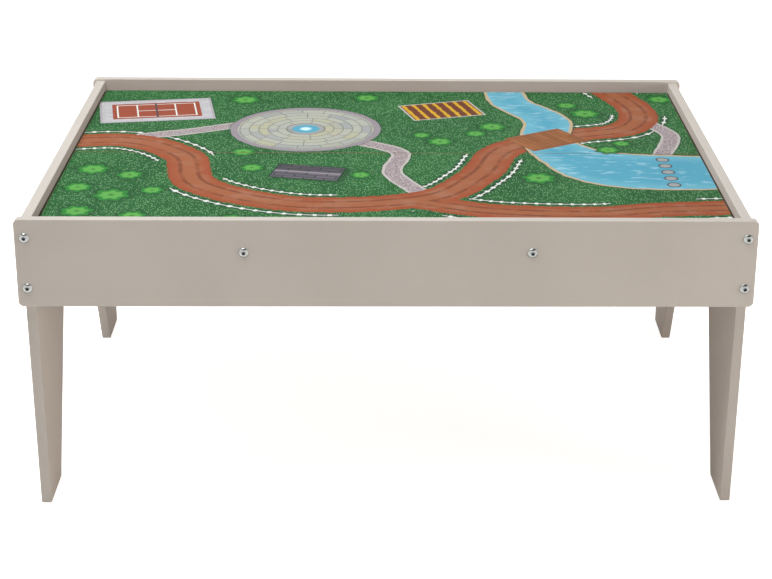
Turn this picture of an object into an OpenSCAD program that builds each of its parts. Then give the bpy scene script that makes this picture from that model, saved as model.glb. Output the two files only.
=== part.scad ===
// Low play table for wooden train sets. Two aprons are bolted to two end panels, which run down
// into tapered legs, and two loose boards lie in the tray below the rim.
// Length runs along X, the front faces -Y, and the feet stand on Z = 0.

/* [Table] */
// Length over the ends of the aprons
table_l = 840; // [700:5:1000]
// Depth over the outer faces of the aprons
table_d = 605; // [540:5:720]
// Height of the rim, which is the tops of the aprons, above the floor
table_h = 368; // [320:1:460]
// Thickness of the aprons and the end panels
panel_t = 12; // [11:0.5:18]
// Round-over along the edges of the aprons and the end panels
edge_r = 1; // [0.8:0.1:2.4]

/* [Aprons] */
// Height of each apron
apron_h = 105; // [98:1:130]
// Radius of the corners of the aprons
apron_corner_r = 6; // [3:0.5:20]

/* [End panels and legs] */
// How far each end panel stands in from the ends of the aprons
end_inset = 5.5; // [3:0.5:16]
// How far the tops of the end panels lie below the rim
rail_drop = 3; // [0:0.5:5]
// Width of a leg where it comes out under the apron
leg_top_w = 198; // [140:1:220]
// Width of a foot on the floor
foot_w = 70; // [45:1:110]
// How far the outer edge of a leg leans in on its way to the floor
leg_lean = 8; // [1:0.5:30]
// Radius where a leg runs into the rail between the legs
arch_r = 20; // [8:1:40]
// Radius of the corners of the feet
foot_corner_r = 3; // [2.5:0.1:6]

/* [Play boards] */
// How far the play surface lies below the rim
tray_drop = 16.5; // [12:0.5:24]
// Thickness of the play boards
play_t = 4; // [3:0.5:7]
// Gap between the play boards and the end panels
play_end_gap = 1.5; // [0.6:0.1:3]
// Gap between the play boards and the aprons
play_side_gap = 0.8; // [0.5:0.1:2]
// Gap between the two play boards
play_seam = 0.6; // [0.4:0.1:2]
// Radius of the corners of the play boards
play_corner_r = 2; // [1:0.5:8]

/* [Cross bars] */
// Distance of each cross bar from the middle of the table
bar_x = 163.5; // [100:0.5:260]
// Thickness of a cross bar
bar_t = 18; // [16:0.5:25]
// Height of a cross bar
bar_h = 45; // [42:1:60]
// Radius along the edges of the bars and ledges
bar_edge_r = 2; // [0.5:0.1:4]

/* [Ledges] */
// Width of a ledge
ledge_w = 15; // [12:0.5:25]
// Height of a ledge
ledge_h = 18; // [14:0.5:26]
// How far a ledge stops short of each apron
ledge_setback = 50; // [45:1:90]
// Number of screws in a ledge
ledge_screws_n = 3; // [2:1:5]

/* [Bolts and barrel nuts] */
// Diameter of the bolts
bolt_d = 6; // [4:0.5:6.5]
// Diameter of a bolt's head
bolt_head_d = 12; // [10:0.5:15]
// Height of a bolt's head
bolt_head_h = 3.6; // [3:0.1:5]
// Width across the flats of the socket in a head
bolt_key = 4; // [3:0.5:5]
// How far a bolt's tip runs on past its barrel nut
bolt_tail = 3; // [1:0.5:8]
// Depth of the upper corner bolts below the rim
upper_bolt_drop = 22; // [18:1:30]
// Depth of the lower corner bolts below the rim
lower_bolt_drop = 82.5; // [70:0.5:88]
// Depth of the bar bolts below the rim
bar_bolt_drop = 39; // [34:1:42]
// Diameter of the barrel nuts
nut_d = 10; // [9:0.5:12]
// Distance of a barrel nut from the end of the piece that holds it
nut_setback = 30; // [20:1:36]

/* [Dowels and screws] */
// Diameter of the dowels
dowel_d = 8; // [6:0.5:9]
// Length of the dowels
dowel_l = 30; // [20:1:40]
// Distance of a dowel below its bar bolt
dowel_drop = 14; // [11:0.5:16]
// Diameter of the ledge screws
screw_d = 3.5; // [3:0.1:4.5]
// Diameter of a ledge screw's head
screw_head_d = 7; // [6:0.5:9]

/* [Hidden] */
$fn = 64;

paint = [0.70, 0.67, 0.63];
timber = [0.83, 0.70, 0.50];
print_green = [0.30, 0.52, 0.27];
bright_steel = [0.80, 0.80, 0.79];
zinc = [0.66, 0.66, 0.64];

// Steps in a rounded corner and in a round-over
corner_steps = 6;
edge_steps = 3;

// Overrun of every cut past the face that it opens
cut = 1;
// Clearances round a bolt's shank, a thread, a barrel nut, a dowel and a screw, on the radius
bolt_clear = 0.5;
thread_clear = 0.1;
nut_clear = 0.15;
dowel_clear = 0.1;
screw_clear = 0.1;
// Room left beyond the end of a bolt, a barrel nut, a dowel and a screw in its blind hole
blind_room = 0.5;

// Straight rim under the dome of a bolt's head, depth of its socket and chamfer at its tip
bolt_rim_h = 0.7;
bolt_socket_depth = 2.3;
bolt_tip_chamfer = 0.8;
// Width and depth of the driver slot in a barrel nut
nut_slot_w = 1.4;
nut_slot_depth = 1.5;
// Board left behind a barrel nut, a dowel and a screw that stop inside it
nut_skin = 2;
dowel_skin = 4;
screw_skin = 3;
// Timber left behind a barrel nut in a cross bar
bar_nut_skin = 4;
// Chamfer at the ends of a dowel
dowel_chamfer = 1;
// Width and depth of the cross recess in a ledge screw, and distance of the end screws from a ledge's end
screw_slot_w = 1;
screw_slot_depth = 1.4;
screw_tip_l = 4;
screw_margin = 40;

// Places that more than one piece shares
rim_half_l = table_l / 2 - end_inset;
inner_half_l = rim_half_l - panel_t;
inner_half_d = table_d / 2 - panel_t;
corner_bolt_x = rim_half_l - panel_t / 2;
corner_bolt_drops = [upper_bolt_drop, lower_bolt_drop];
play_top_z = table_h - tray_drop;
support_z = play_top_z - play_t;
leg_h = table_h - apron_h;
end_rim_z = table_h - rail_drop;
bar_bolt_z = table_h - bar_bolt_drop;
dowel_z = bar_bolt_z - dowel_drop;
ledge_screw_z = support_z - ledge_h / 2;

bolt_l = panel_t + nut_setback + nut_d / 2 + bolt_tail;
bolt_dome_h = bolt_head_h - bolt_rim_h;
bolt_dome_r = (pow(bolt_head_d / 2, 2) + pow(bolt_dome_h, 2)) / (2 * bolt_dome_h);
bolt_hole_depth = bolt_l - panel_t + blind_room;
panel_nut_l = panel_t - nut_skin;
bar_nut_l = bar_t - bar_nut_skin;
dowel_in_apron = panel_t - dowel_skin;
ledge_half_l = inner_half_d - ledge_setback;
screw_l = ledge_w + panel_t - screw_skin;
screw_head_h = (screw_head_d - screw_d) / 2;
screw_pitch = 2 * (ledge_half_l - screw_margin) / (ledge_screws_n - 1);
screw_ys = [for (i = [0 : ledge_screws_n - 1]) screw_margin - ledge_half_l + i * screw_pitch];

// Direction of a vector, and the normal on its left
function unit(v) = v / norm(v);
function left_of(v) = [-v[1], v[0]];

// Signed turn from one angle to another, the short way round
function short_turn(a, b) = let (d = b - a) d > 180 ? d - 360 : d < -180 ? d + 360 : d;

// Points of one corner: the tip itself, or an arc that touches both of its sides
function corner_points(before, tip, after, r) =
    r == 0 ? [tip] :
    let (
        u = unit(before - tip),
        v = unit(after - tip),
        half_angle = acos(u * v) / 2,
        centre = tip + unit(u + v) * r / sin(half_angle),
        from = tip + u * r / tan(half_angle) - centre,
        to = tip + v * r / tan(half_angle) - centre,
        start = atan2(from[1], from[0]),
        turn = short_turn(start, atan2(to[1], to[0]))
    )
    [for (k = [0 : corner_steps]) let (a = start + turn * k / corner_steps) centre + r * [cos(a), sin(a)]];

// A closed outline, given counter-clockwise as [x, y, corner radius], with its corners rounded
function rounded_outline(tips) =
    let (n = len(tips), p = [for (t = tips) [t[0], t[1]]])
    [for (i = [0 : n - 1]) each corner_points(p[(i + n - 1) % n], p[i], p[(i + 1) % n], tips[i][2])];

// A rectangle about the origin, as tips for a rounded outline
function box_tips(half_w, half_h, r) =
    [[-half_w, -half_h, r], [half_w, -half_h, r], [half_w, half_h, r], [-half_w, half_h, r]];

// The same outline drawn in by a distance, with its sides kept parallel
function drawn_in(outline, distance) =
    let (n = len(outline))
    [for (i = [0 : n - 1])
        let (
            a = left_of(unit(outline[i] - outline[(i + n - 1) % n])),
            b = left_of(unit(outline[(i + 1) % n] - outline[i]))
        )
        outline[i] + distance * (a + b) / (1 + a * b)];

// Twice the signed area that two vectors span
function spanned(a, b) = a[0] * b[1] - a[1] * b[0];

// Whether a point lies inside a counter-clockwise triangle
function in_triangle(p, a, b, c) =
    spanned(b - a, p - a) > 0 && spanned(c - b, p - b) > 0 && spanned(a - c, p - c) > 0;

// Whether the corner at one place of a ring can be cut off as a triangle inside the outline
function is_ear(outline, ring, i) =
    let (
        n = len(ring),
        a = outline[ring[(i + n - 1) % n]],
        b = outline[ring[i]],
        c = outline[ring[(i + 1) % n]]
    )
    spanned(b - a, c - b) > 0 && len([for (k = ring) if (in_triangle(outline[k], a, b, c)) k]) == 0;
function first_ear(outline, ring, i = 0) = is_ear(outline, ring, i) ? i : first_ear(outline, ring, i + 1);

// A ring of points, numbered as in the outline, cut up into triangles
function triangles(outline, ring) =
    len(ring) == 3 ? [ring] :
    let (n = len(ring), i = first_ear(outline, ring))
    concat(
        [[ring[(i + n - 1) % n], ring[i], ring[(i + 1) % n]]],
        triangles(outline, [for (k = [0 : n - 1]) if (k != i) ring[k]])
    );

// A board of the given outline lying on z = 0, lofted so that both of its edges are rounded over
module eased_board(outline, thickness) {
    n = len(outline);
    lower = [for (k = [0 : edge_steps])
        let (a = 90 * k / edge_steps) [edge_r * (1 - sin(a)), edge_r * (1 - cos(a))]];
    upper = [for (k = [edge_steps : -1 : 0]) [lower[k][0], thickness - lower[k][1]]];
    levels = concat(lower, upper);
    points = [for (level = levels) for (p = drawn_in(outline, level[0])) [p[0], p[1], level[1]]];
    top = n * (len(levels) - 1);
    sides = [for (j = [0 : len(levels) - 2]) for (i = [0 : n - 1])
        [j * n + i, (j + 1) * n + i, (j + 1) * n + (i + 1) % n, j * n + (i + 1) % n]];
    face = triangles(outline, [for (i = [0 : n - 1]) i]);
    over = [for (t = face) [top + t[2], top + t[1], top + t[0]]];
    polyhedron(points = points, faces = concat(sides, face, over));
}

// A round cut along +X or +Y from the origin, which opens the face behind it
module bore_x(d, depth) {
    translate([-cut, 0, 0])
        rotate([0, 90, 0])
            cylinder(d = d, h = depth + cut);
}
module bore_y(d, depth) {
    translate([0, -cut, 0])
        rotate([-90, 0, 0])
            cylinder(d = d, h = depth + cut);
}

// What it is given, at the front and mirrored at the rear
module front_and_rear() {
    children();
    mirror([0, 1, 0])
        children();
}

// Domed bolt with a hexagon socket: its head stands on z = 0 and its shank runs down
module bolt() {
    difference() {
        union() {
            intersection() {
                cylinder(d = bolt_head_d, h = bolt_head_h);
                translate([0, 0, bolt_head_h - bolt_dome_r])
                    sphere(r = bolt_dome_r);
            }
            translate([0, 0, bolt_tip_chamfer - bolt_l])
                cylinder(d = bolt_d, h = bolt_l - bolt_tip_chamfer + bolt_rim_h);
            translate([0, 0, -bolt_l])
                cylinder(d1 = bolt_d - 2 * bolt_tip_chamfer, d2 = bolt_d, h = bolt_tip_chamfer);
        }
        translate([0, 0, bolt_head_h - bolt_socket_depth])
            cylinder(d = bolt_key / cos(30), h = bolt_socket_depth + cut, $fn = 6);
    }
}

// Barrel nut along +X from its slotted end, with its cross hole along Y at a distance from that end
module barrel_nut(length, hole_x) {
    difference() {
        rotate([0, 90, 0])
            cylinder(d = nut_d, h = length);
        translate([hole_x, -nut_d / 2, 0])
            bore_y(bolt_d + 2 * thread_clear, nut_d + cut);
        translate([-cut, -nut_slot_w / 2, -nut_d / 2 - cut])
            cube([nut_slot_depth + cut, nut_slot_w, nut_d + 2 * cut]);
    }
}

// Wooden dowel along +Y with chamfered ends
module dowel() {
    rotate([-90, 0, 0]) {
        cylinder(d1 = dowel_d - 2 * dowel_chamfer, d2 = dowel_d, h = dowel_chamfer);
        translate([0, 0, dowel_chamfer])
            cylinder(d = dowel_d, h = dowel_l - 2 * dowel_chamfer);
        translate([0, 0, dowel_l - dowel_chamfer])
            cylinder(d1 = dowel_d, d2 = dowel_d - 2 * dowel_chamfer, h = dowel_chamfer);
    }
}

// Countersunk screw along -X, its head flush with x = 0
module ledge_screw() {
    difference() {
        rotate([0, -90, 0]) {
            cylinder(d1 = screw_head_d, d2 = screw_d, h = screw_head_h);
            translate([0, 0, screw_head_h])
                cylinder(d = screw_d, h = screw_l - screw_head_h - screw_tip_l);
            translate([0, 0, screw_l - screw_tip_l])
                cylinder(d1 = screw_d, d2 = screw_slot_w, h = screw_tip_l);
        }
        for (turn = [0, 90])
            rotate([turn, 0, 0])
                translate([-screw_slot_depth, -screw_d / 2, -screw_slot_w / 2])
                    cube([screw_slot_depth + cut, screw_d, screw_slot_w]);
    }
}

// Front apron: an eased board on edge, drilled for its bolts and for the dowels of the bars
module front_apron() {
    outline = rounded_outline(box_tips(table_l / 2, apron_h / 2, apron_corner_r));
    color(paint)
        difference() {
            translate([0, -inner_half_d, table_h - apron_h / 2])
                rotate([90, 0, 0])
                    eased_board(outline, panel_t);
            for (side = [-1, 1]) {
                for (drop = corner_bolt_drops)
                    translate([side * corner_bolt_x, -table_d / 2, table_h - drop])
                        bore_y(bolt_d + 2 * bolt_clear, panel_t + cut);
                translate([side * bar_x, -table_d / 2, bar_bolt_z])
                    bore_y(bolt_d + 2 * bolt_clear, panel_t + cut);
                translate([side * bar_x, -inner_half_d, dowel_z])
                    mirror([0, 1, 0])
                        bore_y(dowel_d + 2 * dowel_clear, dowel_in_apron + blind_room);
            }
        }
}

module rear_apron() {
    mirror([0, 1, 0])
        front_apron();
}

// Outline of an end panel: two legs that taper to the floor, and the rail that joins them
function end_panel_outline() =
    let (
        outer_y = inner_half_d - leg_lean,
        inner_y = outer_y - foot_w,
        arch_y = inner_half_d - leg_top_w
    )
    rounded_outline([
        [-outer_y, 0, foot_corner_r], [-inner_y, 0, foot_corner_r],
        [-arch_y, leg_h, arch_r], [arch_y, leg_h, arch_r],
        [inner_y, 0, foot_corner_r], [outer_y, 0, foot_corner_r],
        [inner_half_d, leg_h, 0], [inner_half_d, end_rim_z, 0],
        [-inner_half_d, end_rim_z, 0], [-inner_half_d, leg_h, 0]
    ]);

// Left end panel, drilled along its edges for the bolts and on its inner face for nuts and screws
module left_end_panel() {
    color(paint)
        difference() {
            translate([-rim_half_l, 0, 0])
                rotate([90, 0, 90])
                    eased_board(end_panel_outline(), panel_t);
            front_and_rear()
                for (drop = corner_bolt_drops) {
                    translate([-corner_bolt_x, -inner_half_d, table_h - drop])
                        bore_y(bolt_d + 2 * bolt_clear, bolt_hole_depth);
                    translate([-inner_half_l, nut_setback - inner_half_d, table_h - drop])
                        mirror([1, 0, 0])
                            bore_x(nut_d + 2 * nut_clear, panel_nut_l + blind_room);
                }
            for (y = screw_ys)
                translate([-inner_half_l, y, ledge_screw_z])
                    mirror([1, 0, 0])
                        bore_x(screw_d + 2 * screw_clear, panel_t - screw_skin + blind_room);
        }
}

module right_end_panel() {
    mirror([1, 0, 0])
        left_end_panel();
}

// Left cross bar: eased timber between the aprons, drilled from its ends and its outer side
module left_cross_bar() {
    outline = rounded_outline(box_tips(bar_t / 2, bar_h / 2, bar_edge_r));
    color(timber)
        difference() {
            translate([-bar_x, inner_half_d, support_z - bar_h / 2])
                rotate([90, 0, 0])
                    linear_extrude(height = 2 * inner_half_d)
                        polygon(outline);
            front_and_rear() {
                translate([-bar_x, -inner_half_d, bar_bolt_z])
                    bore_y(bolt_d + 2 * bolt_clear, bolt_hole_depth);
                translate([-bar_x - bar_t / 2, nut_setback - inner_half_d, bar_bolt_z])
                    bore_x(nut_d + 2 * nut_clear, bar_nut_l + blind_room);
                translate([-bar_x, -inner_half_d, dowel_z])
                    bore_y(dowel_d + 2 * dowel_clear, dowel_l - dowel_in_apron + blind_room);
            }
        }
}

module right_cross_bar() {
    mirror([1, 0, 0])
        left_cross_bar();
}

// Left ledge: a batten on the end panel, countersunk for its screws
module left_ledge() {
    outline = rounded_outline(box_tips(ledge_w / 2, ledge_h / 2, bar_edge_r));
    color(timber)
        difference() {
            translate([ledge_w / 2 - inner_half_l, ledge_half_l, support_z - ledge_h / 2])
                rotate([90, 0, 0])
                    linear_extrude(height = 2 * ledge_half_l)
                        polygon(outline);
            for (y = screw_ys)
                translate([ledge_w - inner_half_l, y, ledge_screw_z])
                    mirror([1, 0, 0]) {
                        bore_x(screw_d + 2 * screw_clear, ledge_w + cut);
                        rotate([0, 90, 0])
                            cylinder(d1 = screw_head_d + 2 * screw_clear, d2 = screw_d + 2 * screw_clear,
                                h = screw_head_h);
                    }
        }
}

module right_ledge() {
    mirror([1, 0, 0])
        left_ledge();
}

// Front play board: half of the printed tray floor, laid loosely on the ledges and the bars
module front_play_board() {
    half_l = inner_half_l - play_end_gap;
    half_d = (inner_half_d - play_side_gap - play_seam / 2) / 2;
    color(print_green)
        translate([0, -half_d - play_seam / 2, support_z])
            linear_extrude(height = play_t)
                polygon(rounded_outline(box_tips(half_l, half_d, play_corner_r)));
}

module rear_play_board() {
    mirror([0, 1, 0])
        front_play_board();
}

module front_corner_bolts() {
    color(bright_steel)
        for (side = [-1, 1])
            for (drop = corner_bolt_drops)
                translate([side * corner_bolt_x, -table_d / 2, table_h - drop])
                    rotate([90, 0, 0])
                        bolt();
}

module rear_corner_bolts() {
    mirror([0, 1, 0])
        front_corner_bolts();
}

module front_bar_bolts() {
    color(bright_steel)
        for (side = [-1, 1])
            translate([side * bar_x, -table_d / 2, bar_bolt_z])
                rotate([90, 0, 0])
                    bolt();
}

module rear_bar_bolts() {
    mirror([0, 1, 0])
        front_bar_bolts();
}

// Barrel nuts of the left end panel, flush with its inner face
module left_panel_barrel_nuts() {
    color(zinc)
        front_and_rear()
            for (drop = corner_bolt_drops)
                translate([-inner_half_l, nut_setback - inner_half_d, table_h - drop])
                    mirror([1, 0, 0])
                        barrel_nut(panel_nut_l, panel_t / 2);
}

module right_panel_barrel_nuts() {
    mirror([1, 0, 0])
        left_panel_barrel_nuts();
}

// Barrel nuts of the left cross bar, flush with its outer side
module left_bar_barrel_nuts() {
    color(zinc)
        front_and_rear()
            translate([-bar_x - bar_t / 2, nut_setback - inner_half_d, bar_bolt_z])
                barrel_nut(bar_nut_l, bar_t / 2);
}

module right_bar_barrel_nuts() {
    mirror([1, 0, 0])
        left_bar_barrel_nuts();
}

module left_bar_dowels() {
    color(timber)
        front_and_rear()
            translate([-bar_x, -inner_half_d - dowel_in_apron, dowel_z])
                dowel();
}

module right_bar_dowels() {
    mirror([1, 0, 0])
        left_bar_dowels();
}

module left_ledge_screws() {
    color(zinc)
        for (y = screw_ys)
            translate([ledge_w - inner_half_l, y, ledge_screw_z])
                ledge_screw();
}

module right_ledge_screws() {
    mirror([1, 0, 0])
        left_ledge_screws();
}

front_apron();
rear_apron();
left_end_panel();
right_end_panel();
left_cross_bar();
right_cross_bar();
left_ledge();
right_ledge();
front_play_board();
rear_play_board();
front_corner_bolts();
rear_corner_bolts();
front_bar_bolts();
rear_bar_bolts();
left_panel_barrel_nuts();
right_panel_barrel_nuts();
left_bar_barrel_nuts();
right_bar_barrel_nuts();
left_bar_dowels();
right_bar_dowels();
left_ledge_screws();
right_ledge_screws();
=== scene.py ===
"""Dresses the train table: sprayed boards, printed play boards, bright bolts and pine bars."""

import math

import bmesh
import bpy
import numpy as np
from bpy.props import FloatProperty, FloatVectorProperty, PointerProperty
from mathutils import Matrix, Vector


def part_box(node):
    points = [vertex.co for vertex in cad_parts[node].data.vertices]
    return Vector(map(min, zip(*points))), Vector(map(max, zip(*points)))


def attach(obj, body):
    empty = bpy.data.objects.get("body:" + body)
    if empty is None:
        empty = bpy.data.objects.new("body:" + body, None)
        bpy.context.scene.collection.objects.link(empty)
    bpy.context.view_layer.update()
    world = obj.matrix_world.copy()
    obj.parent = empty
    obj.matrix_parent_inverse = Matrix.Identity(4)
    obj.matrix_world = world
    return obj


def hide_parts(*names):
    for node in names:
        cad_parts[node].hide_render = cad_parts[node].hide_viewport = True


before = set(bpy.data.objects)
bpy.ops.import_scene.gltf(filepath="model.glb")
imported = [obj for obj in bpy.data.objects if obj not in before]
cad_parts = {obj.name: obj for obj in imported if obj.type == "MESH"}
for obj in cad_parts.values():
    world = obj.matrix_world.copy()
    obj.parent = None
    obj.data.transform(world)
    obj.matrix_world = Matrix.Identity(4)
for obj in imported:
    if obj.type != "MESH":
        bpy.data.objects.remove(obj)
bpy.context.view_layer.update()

bl_info = {
    "name": "Train Table",
    "version": (1, 0, 0),
    "blender": (4, 5, 0),
    "location": "View3D > Sidebar > Train Table",
    "description": "Models and finishes the pieces of a low play table",
    "category": "Object",
}


# Sizes and colours that a user would change


def ink(red, green, blue):
    """A colour as a picture editor gives it, 0 to 255, in the linear values that shaders take."""
    parts = [value / 255 for value in (red, green, blue)]
    return tuple(p / 12.92 if p <= 0.04045 else ((p + 0.055) / 1.055) ** 2.4 for p in parts)


def amount(name, about, default, **more):
    return FloatProperty(name=name, description=about, default=default, **more)


def length(name, about, default):
    return amount(name, about, default, min=0, unit="LENGTH")


def vector(name, about, default, **more):
    return FloatVectorProperty(name=name, description=about, default=default, **more)


def colour(name, about, *parts):
    return vector(name, about, ink(*parts), size=3, min=0, max=1, subtype="COLOR")


class TableSizes(bpy.types.PropertyGroup):
    """Sizes of the modelled pieces that the frame's boxes don't give."""

    edge_round: length("Edge rounding", "Radius along every board edge", 0.0010)
    apron_corner: length("Apron corner", "Radius of the aprons' corners", 0.006)
    arch_round: length("Arch corner", "Radius where a leg meets the rail", 0.020)
    foot_round: length("Foot corner", "Radius of the corners of the feet", 0.003)
    leg_top: length("Leg width", "Width of a leg where it leaves the rail", 0.198)
    foot_width: length("Foot width", "Width of a leg at the floor", 0.070)
    leg_lean: length("Leg lean", "How far a foot stands in from the end of the rail", 0.008)
    board_corner: length("Play board corner", "Radius of the play boards' corners", 0.002)
    board_rim: length("Play board rim", "Bevel along the top of a play board", 0.0004)
    print_cell: length("Print cell", "Spacing of the points that carry the picture", 0.0022)
    bolt_bore: length("Bolt bore", "Radius of the holes for the bolts", 0.0031)
    nut_bore: length("Nut bore", "Radius of the holes for the barrel nuts", 0.0051)
    nut_depth: length("Nut bore depth", "Depth of the holes for the barrel nuts", 0.0100)
    head_radius: length("Bolt head", "Radius of a bolt's domed head", 0.0060)
    dome_height: length("Bolt dome", "Height of the dome above the head's skirt", 0.0030)
    skirt_height: length("Bolt skirt", "Height of the straight rim under the dome", 0.0003)
    head_ease: length("Bolt head easing", "Bevel along the edges of a bolt's head", 0.00015)
    shank_radius: length("Bolt shank", "Radius of a bolt's shank", 0.0030)
    shank_bevel: length("Shank bevel", "Bevel at the end of a bolt's shank", 0.0006)
    socket_radius: length("Bolt socket", "Radius of the six-sided socket across its corners", 0.0023)
    socket_depth: length("Socket depth", "Depth of the socket from the top of the dome", 0.0022)


class TableColours(bpy.types.PropertyGroup):
    """Colours of the boards, the timber and the steel."""

    paint: colour("Paint", "Satin paint of the boards", 205, 194, 184)
    paint_low: colour("Paint, low tone", "The paint's slightly darker tone", 201, 190, 180)
    paint_worn: colour("Paint, rubbed", "Paint rubbed thin along an edge", 214, 206, 198)
    # Painted shade: a dark line on the end panels' inner faces that stands for the shade in the gap
    # beside the play boards
    painted_gap_shade: colour("Gap shade line", "Dark line painted as the shade in the gap beside the play boards", 58, 52, 48)
    hardboard: colour("Hardboard", "Bare back of the play boards", 150, 112, 78)
    hardboard_dark: colour("Hardboard, dark", "Pressed fibres in the hardboard", 116, 84, 56)
    pine: colour("Pine", "Early wood of the bars and ledges", 222, 187, 138)
    pine_dark: colour("Pine, dark", "Late wood lines", 186, 138, 88)
    bright_steel: colour("Bright steel", "Plated bolts", 194, 195, 192)
    # Painted shade: the dark finish inside a bolt's socket stands for the shade in the deep hole
    socket: colour("Socket", "Painted shade inside a bolt's socket", 84, 84, 88)
    zinc_steel: colour("Zinc steel", "Barrel nuts and screws", 190, 192, 190)


class PictureColours(bpy.types.PropertyGroup):
    """Printing colours of the picture on the play boards."""

    grass: colour("Grass", "Ground of the picture", 46, 99, 53)
    grass_low: colour("Grass, low tone", "Darker patches of the grass", 38, 88, 46)
    blade: colour("Blades", "Fine pale blades in the grass", 134, 176, 126)
    blade_low: colour("Blades, dark", "Fine dark blades in the grass", 32, 76, 42)
    lane: colour("Lane", "Earth of the lanes", 155, 92, 62)
    lane_pale: colour("Lane, pale", "Trodden patches of the lanes", 158, 104, 78)
    lane_edge: colour("Lane edge", "Redder earth along the lanes' edges", 152, 77, 49)
    lane_rim: colour("Lane rim", "Dark line where a lane meets the grass", 112, 62, 44)
    paving: colour("Paving", "Blocks of the round square", 173, 172, 159)
    paving_warm: colour("Paving, warm", "Yellower blocks", 175, 170, 146)
    paving_cool: colour("Paving, cool", "Greyer blocks", 157, 157, 155)
    joint: colour("Joints", "Lines between the blocks", 112, 114, 110)
    kerb: colour("Kerb", "Border of the round square", 146, 136, 140)
    basin_line: colour("Dark line", "Lines round the basin and the stepping stones", 78, 68, 70)
    sett: colour("Setts", "Small stones round the court", 188, 183, 184)
    sett_joint: colour("Sett joints", "Lines between the setts", 164, 158, 165)
    clay: colour("Clay", "Playing court", 150, 74, 54)
    gravel: colour("Gravel", "Footpaths", 184, 170, 170)
    gravel_dark: colour("Gravel, dark", "Darker grains of the footpaths", 120, 102, 106)
    edging: colour("Edging", "Pale borders of the paths and beds", 184, 177, 170)
    water: colour("Water", "Stream and pond", 86, 156, 178)
    shallows: colour("Shallows", "Paler water along the banks", 105, 168, 186)
    ripple: colour("Ripples", "Paler streaks on the water", 206, 230, 238)
    sand: colour("Sand", "Banks of the water", 186, 166, 136)
    gold: colour("Golden flowers", "Rows in the bed", 206, 158, 46)
    slate: colour("Slates", "Cottage roof", 98, 90, 100)
    plank: colour("Planks", "Bridge", 150, 96, 60)
    leaf: colour("Leaves", "Trees", 48, 122, 54)
    leaf_light: colour("Leaves, light", "Tops of the trees", 92, 158, 74)
    thicket: colour("Shade", "Shadows and dark leaves", 30, 54, 36)
    fence: colour("White", "Fences and the lines of the court", 222, 222, 214)
    bounce: colour("Bounced light", "Tone of the light thrown on the rim", 141, 127, 120)


class StageSizes(bpy.types.PropertyGroup):
    """Camera and light."""

    camera_place: vector(
        "Camera", "Where the camera stands", (-0.0049, -2.2137, 1.0549), unit="LENGTH"
    )
    camera_turn: vector(
        "Camera turn", "Turn of the camera from straight down",
        (math.radians(69.382), 0, math.radians(-2.0455)), subtype="EULER",
    )
    camera_roll: amount("Camera roll", "Small turn of the picture", math.radians(0.825), subtype="ANGLE")
    camera_lens: amount("Lens", "Focal length on a full-frame sensor", 84.227, unit="CAMERA")
    camera_shift: vector("Lens shift", "Shift of the frame, in frame widths", (-0.0760, -0.0540), size=2)
    room_light: amount("Room light", "Strength of the even light all round", 0.27)
    top_light: amount("Top light", "Power of the soft box overhead", 55, unit="POWER")
    right_light: amount("Right light", "Power of the soft box on the right", 26.5, unit="POWER")
    left_light: amount("Left light", "Power of the soft box on the left", 13.5, unit="POWER")
    cool: colour("Top tint", "Colour of the soft box overhead", 245, 252, 255)
    warm: colour("Side tint", "Colour of the soft boxes beside the table", 255, 249, 243)
    ceiling: amount("Ceiling", "How bright the room above the white walls looks in the steel", 0.12)
    floor_size: length("Floor", "Width of the floor", 9.0)
    floor_lift: amount("Floor white", "White added to the floor where the camera sees it", 0.82)
    floor_mirrored: amount("Floor mirrored", "White added to the floor where it is mirrored", 0.20)
    floor: colour("Floor colour", "Pale floor", 250, 248, 246)


# Shader nodes

INK_SOFT = 0.0004  # half the width over which one printed tone turns into the next


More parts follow.
